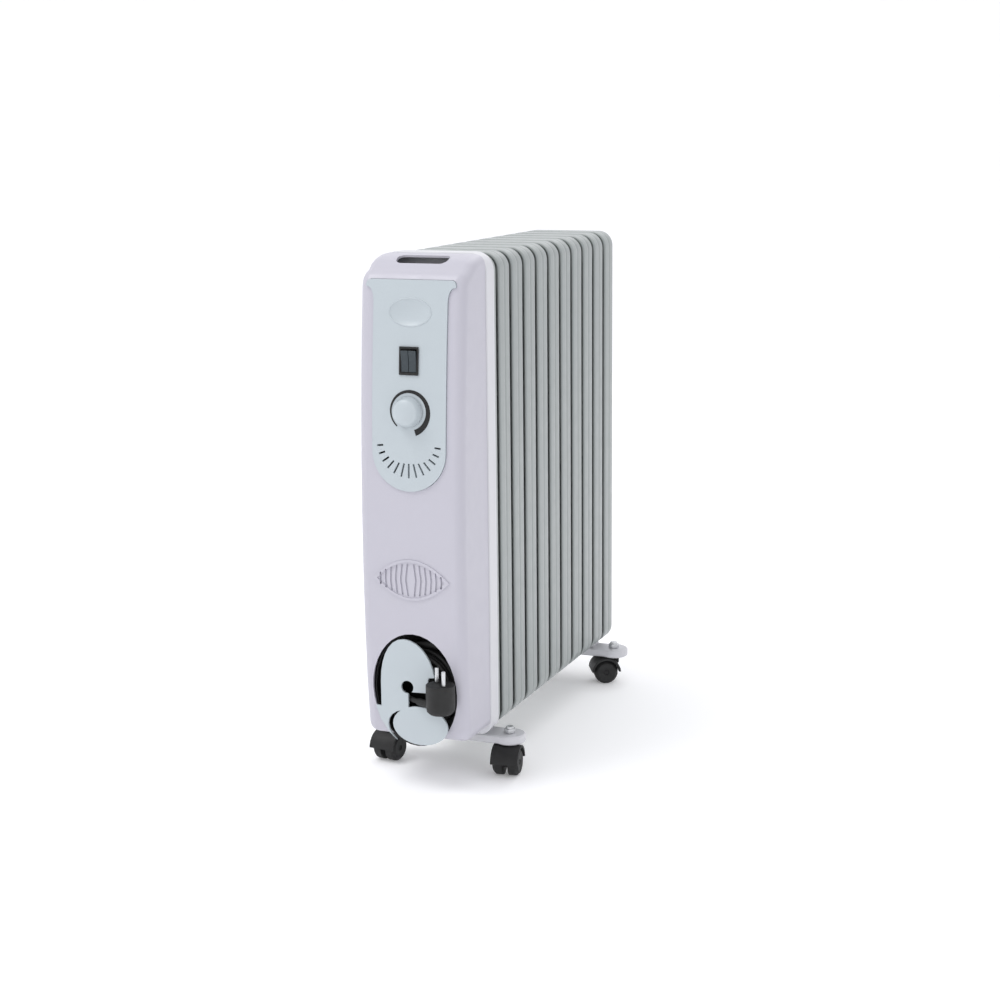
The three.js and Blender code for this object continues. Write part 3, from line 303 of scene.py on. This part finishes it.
def fin_ring(inset):
    """Points round the fin's outline, drawn in by an inset."""
    radius = FIN_CORNER - inset
    half = FIN_HALF - inset
    low, high = FIN_LOW + inset, FIN_HIGH - inset
    ring = []
    for cx, cz, start in (
        (half - radius, high - radius, 0),
        (-half + radius, high - radius, 90),
        (-half + radius, low + radius, 180),
        (half - radius, low + radius, 270),
    ):
        for k in range(11):
            angle = math.radians(start + 9 * k)
            ring.append((cx + radius * math.cos(angle), cz + radius * math.sin(angle)))
    return ring


# The fin's folded edge, from the panel's front face round the outline to its back face: inset and depth.
FIN_PROFILE = [
    (11, -3.4), (7.5, -3.6), (5.4, -4.6), (4.4, -6.4), (4, -9), (3.6, -14.6), (3.2, -15.9), (2.3, -16.5),
    (1.3, -16.4), (0.5, -15.7), (0.1, -14.4), (0, -12), (0, -5), (0, -1.6), (0.35, -0.8), (0.6, 0),
    (0.35, 0.8), (0, 1.6), (0, 5), (0, 12), (0.1, 14.4), (0.5, 15.7), (1.3, 16.4), (2.3, 16.5),
    (3.2, 15.9), (3.6, 14.6), (4, 9), (4.4, 6.4), (5.4, 4.6), (7.5, 3.6), (11, 3.4),
]


def channel_height(x, z):
    """How far the pressed oil channels stand out of the fin's panel."""
    upright = max(0.0, 1 - abs(abs(x) - CHANNEL_OUT) / CHANNEL_REACH)
    ends = ease((z - CHANNEL_LOW) / CHANNEL_END) * ease((CHANNEL_HIGH - z) / CHANNEL_END)
    height = CHANNEL_HEIGHT * ease(upright * 1.6) * ends
    for header in HEADERS:
        reach = math.hypot(x / 1.25, z - header)
        height = max(height, DOME_HEIGHT * ease((DOME_REACH - reach) / DOME_SLOPE))
    return height


def fin_mesh(centre):
    """One fin: the folded edge as rings of points, then the two panels as grids."""
    points, faces = [], []
    rings = [fin_ring(inset) for inset, _ in FIN_PROFILE]
    count = len(rings[0])
    for ring, (_, y) in zip(rings, FIN_PROFILE):
        points += [place(x, centre + y, z) for x, z in ring]
    for k in range(len(rings) - 1):
        for i in range(count):
            j = (i + 1) % count
            faces.append((k * count + i, k * count + j, (k + 1) * count + j, (k + 1) * count + i))
    low, high = FIN_LOW + PANEL_INSET, FIN_HIGH - PANEL_INSET
    for side in (-1, 1):
        first = len(points)
        for r in range(PANEL_ROWS + 1):
            z = low + (high - low) * r / PANEL_ROWS
            drop = max(0.0, PANEL_CORNER - min(z - low, high - z))
            cut_back = PANEL_CORNER - math.sqrt(max(0.0, PANEL_CORNER ** 2 - drop * drop))
            half = FIN_HALF - PANEL_INSET - cut_back
            for c in range(PANEL_COLUMNS + 1):
                x = -half + 2 * half * c / PANEL_COLUMNS
                points.append(place(x, centre + side * (PANEL_HALF + channel_height(x, z)), z))
        for r in range(PANEL_ROWS):
            for c in range(PANEL_COLUMNS):
                a = first + r * (PANEL_COLUMNS + 1) + c
                quad = (a, a + 1, a + PANEL_COLUMNS + 2, a + PANEL_COLUMNS + 1)
                faces.append(quad if side < 0 else quad[::-1])
    return points, faces


def header_tube(points, faces, front, back, z):
    """An open tube with eased ends, added to a fin's points and faces."""
    first = len(points)
    rings = (
        (front, HEADER_END_RADIUS),
        (front + HEADER_END, HEADER_RADIUS),
        (back - HEADER_END, HEADER_RADIUS),
        (back, HEADER_END_RADIUS),
    )
    for y, radius in rings:
        for k in range(HEADER_SIDES):
            angle = math.radians(360 / HEADER_SIDES * k)
            points.append(place(radius * math.cos(angle), y, z + radius * math.sin(angle)))
    for ring in range(len(rings) - 1):
        a = first + HEADER_SIDES * ring
        b = a + HEADER_SIDES
        for k in range(HEADER_SIDES):
            j = (k + 1) % HEADER_SIDES
            faces.append((a + k, a + j, b + j, b + k))


for index in range(FIN_COUNT):
    node = f"fin_{index + 1:02d}"
    centre = FIRST_FIN + FIN_PITCH * index
    points, faces = fin_mesh(centre)
    for header in HEADERS:
        if index > 0:
            front = centre - FIN_PITCH / 2 + HEADER_GAP
            header_tube(points, faces, front, centre - HEADER_START, header)
        if index < FIN_COUNT - 1:
            back = centre + FIN_PITCH / 2 - HEADER_GAP
            header_tube(points, faces, centre + HEADER_START, back, header)
    finish_piece(mesh_object("look_" + node, points, faces, 50), "enamel", "heater", node)


# ------------------------------------------------------------------ box, controls, reel
from_cad("front_cover", 0.7, 28)
shell = from_cad("rear_shell", 1.0, 28)
# The rear shell takes the lighter enamel copy: painted highlight along its rear edge.
shell.data.materials[0] = FINISH["enamel_painted_highlight"]
from_cad("fascia_panel", 1.3, 28)
from_cad("switch_frame", 0.5)
from_cad("rocker_left", 0.5)
from_cad("rocker_right", 0.5)
from_cad("thermostat_knob", 0.8, 30)
from_cad("cord_reel_tub", 0.5)
from_cad("cord_reel_hub", 0.4)
flange = from_cad("cord_reel_flange", 0.9)
flange.data.materials[0] = FINISH["fascia_plastic"]
from_cad("cord_gland", 0.7)
# The castor bars take the lighter enamel copy: painted highlight on their tops.
for node in ("castor_bar_front", "castor_bar_rear"):
    bar = from_cad(node, 0.5)
    bar.data.materials[0] = FINISH["enamel_painted_highlight"]
for node in ("u_bolt_front", "u_bolt_rear"):
    from_cad(node, 0.3, 60)
for node in SLOT_OF:
    if node.startswith("wing_nut") or node.startswith("castor_bolt"):
        from_cad(node, 0.4)
    if node.startswith("castor_hood") or node.startswith("castor_wheel"):
        from_cad(node, 0.7, 32)
for node in (
    "heating_element",
    "element_flange",
    "thermal_cutout",
    "terminal_block",
    "thermostat_body",
    "thermostat_shaft",
):
    from_cad(node, 0.4)

# The black crescent scale printed round the knob: thin at the lower left, thick at the lower right.
FACE_Y, FACE_Z, FACE_TILT = 3.3349, 466.0, math.radians(-3.374)
SCALE_RADIUS, SCALE_THIN, SCALE_GROWTH = 22.0, 1.5, 5.6
SCALE_START, SCALE_SWEEP, SCALE_STEPS = 229, 300, 60
SCALE_SUNK, SCALE_PROUD = -0.3, 0.25


def on_face(x, out, up):
    """A point on the tilted face at the knob's height: across, out of the face and up it."""
    y, z = -out, up
    return place(
        x,
        FACE_Y + y * math.cos(FACE_TILT) - z * math.sin(FACE_TILT),
        FACE_Z + y * math.sin(FACE_TILT) + z * math.cos(FACE_TILT),
    )


def crescent():
    points, faces = [], []
    for k in range(SCALE_STEPS + 1):
        share = k / SCALE_STEPS
        angle = math.radians(SCALE_START - SCALE_SWEEP * share)
        outer = SCALE_RADIUS + (SCALE_THIN + SCALE_GROWTH * share ** 1.3)
        section = (
            (SCALE_RADIUS, SCALE_SUNK),
            (SCALE_RADIUS, SCALE_PROUD),
            (outer, SCALE_PROUD),
            (outer, SCALE_SUNK),
        )
        for radius, out in section:
            points.append(on_face(radius * math.cos(angle), out, radius * math.sin(angle)))
    for k in range(SCALE_STEPS):
        for i in range(4):
            j = (i + 1) % 4
            faces.append((4 * k + i, 4 * k + j, 4 * k + 4 + j, 4 * k + 4 + i))
    faces.append((0, 3, 2, 1))
    faces.append(tuple(4 * SCALE_STEPS + i for i in range(4)))
    return mesh_object("dial_scale", points, faces, 30)


finish_piece(crescent(), "black_plastic", "heater")

# The rolled rim round the shallow dish near the top of the fascia.
DISH_Y, DISH_Z, DISH_TILT = 12.269, 581.0, math.radians(-5.508)
DISH_HALF_WIDTH, DISH_HALF_HEIGHT = 26.6, 16.1
RIM_SPREAD, RIM_RISE, RIM_SUNK = 0.9, 0.8, -0.2


def dish_rim():
    points, faces = [], []
    around_rim, across_rim = 72, 8
    for k in range(around_rim):
        angle = 2 * math.pi * k / around_rim
        for i in range(across_rim):
            turn = 2 * math.pi * i / across_rim
            grow = RIM_SPREAD * math.cos(turn)
            out = RIM_SUNK + RIM_RISE * math.sin(turn)
            x = (DISH_HALF_WIDTH + grow) * math.cos(angle)
            up = (DISH_HALF_HEIGHT + grow) * math.sin(angle)
            points.append(place(
                x,
                DISH_Y - out * math.cos(DISH_TILT) - up * math.sin(DISH_TILT),
                DISH_Z - out * math.sin(DISH_TILT) + up * math.cos(DISH_TILT),
            ))
    for k in range(around_rim):
        for i in range(across_rim):
            a, b = k * across_rim, ((k + 1) % around_rim) * across_rim
            j = (i + 1) % across_rim
            faces.append((a + i, a + j, b + j, b + i))
    return mesh_object("dish_rim", points, faces, 60)


finish_piece(dish_rim(), "fascia_plastic", "heater")

# ------------------------------------------------------------------ floor and light
FINISH["floor"] = surface("studio_floor", (0.93, 0.93, 0.94), 0.8, grain=60, bump=0.01, cloud=0.005)
# The backdrop in metres.
FLOOR_NEAR, FLOOR_FAR, FLOOR_HALF_WIDTH = -9, 4, 14
BEND_RADIUS, BEND_STEPS, WALL_TOP = 4, 12, 12


def sweep_backdrop():
    """A pale floor that curves up into a wall, turned square to the camera's heading."""
    across, away = level, Vector((-level.y, level.x, 0))
    outline = [(FLOOR_NEAR, 0), (FLOOR_FAR, 0)]
    for k in range(1, BEND_STEPS + 1):
        angle = math.radians(90 / BEND_STEPS * k)
        height = BEND_RADIUS - BEND_RADIUS * math.cos(angle)
        outline.append((FLOOR_FAR + BEND_RADIUS * math.sin(angle), height))
    outline.append((FLOOR_FAR + BEND_RADIUS, WALL_TOP))
    points = []
    for distance, height in outline:
        for side in (-FLOOR_HALF_WIDTH, FLOOR_HALF_WIDTH):
            points.append(across * side + away * distance + Vector((0, 0, height)))
    faces = [(2 * k, 2 * k + 1, 2 * k + 3, 2 * k + 2) for k in range(len(outline) - 1)]
    return mesh_object("floor", points, faces, 60)


pale = FINISH["floor"].node_tree.nodes["Principled BSDF"]
pale.inputs["Emission Color"].default_value = (1, 1, 1, 1)
pale.inputs["Emission Strength"].default_value = 0.16
floor = sweep_backdrop()
floor.data.materials.append(FINISH["floor"])


def area_light(name, where, size, power):
    data = bpy.data.lights.new(name, "AREA")
    data.shape = "SQUARE"
    data.size = size
    data.energy = power
    lamp = bpy.data.objects.new(name, data)
    bpy.context.scene.collection.objects.link(lamp)
    lamp.location = where
    lamp.rotation_euler = (Vector((0, 0, 0.3)) - Vector(where)).to_track_quat("-Z", "Y").to_euler()


area_light("key", (-1.4, -1.5, 3.4), 1.6, 46)
area_light("fill", (2.4, -2.6, 2.2), 2.4, 5)
area_light("back", (0.3, 2.2, 3.0), 2.2, 20)
world = bpy.data.worlds.new("studio")
world.use_nodes = True
world.node_tree.nodes["Background"].inputs[0].default_value = (0.97, 0.975, 1.0, 1)
world.node_tree.nodes["Background"].inputs[1].default_value = 0.88
bpy.context.scene.world = world
bpy.context.scene.view_settings.view_transform = "Standard"
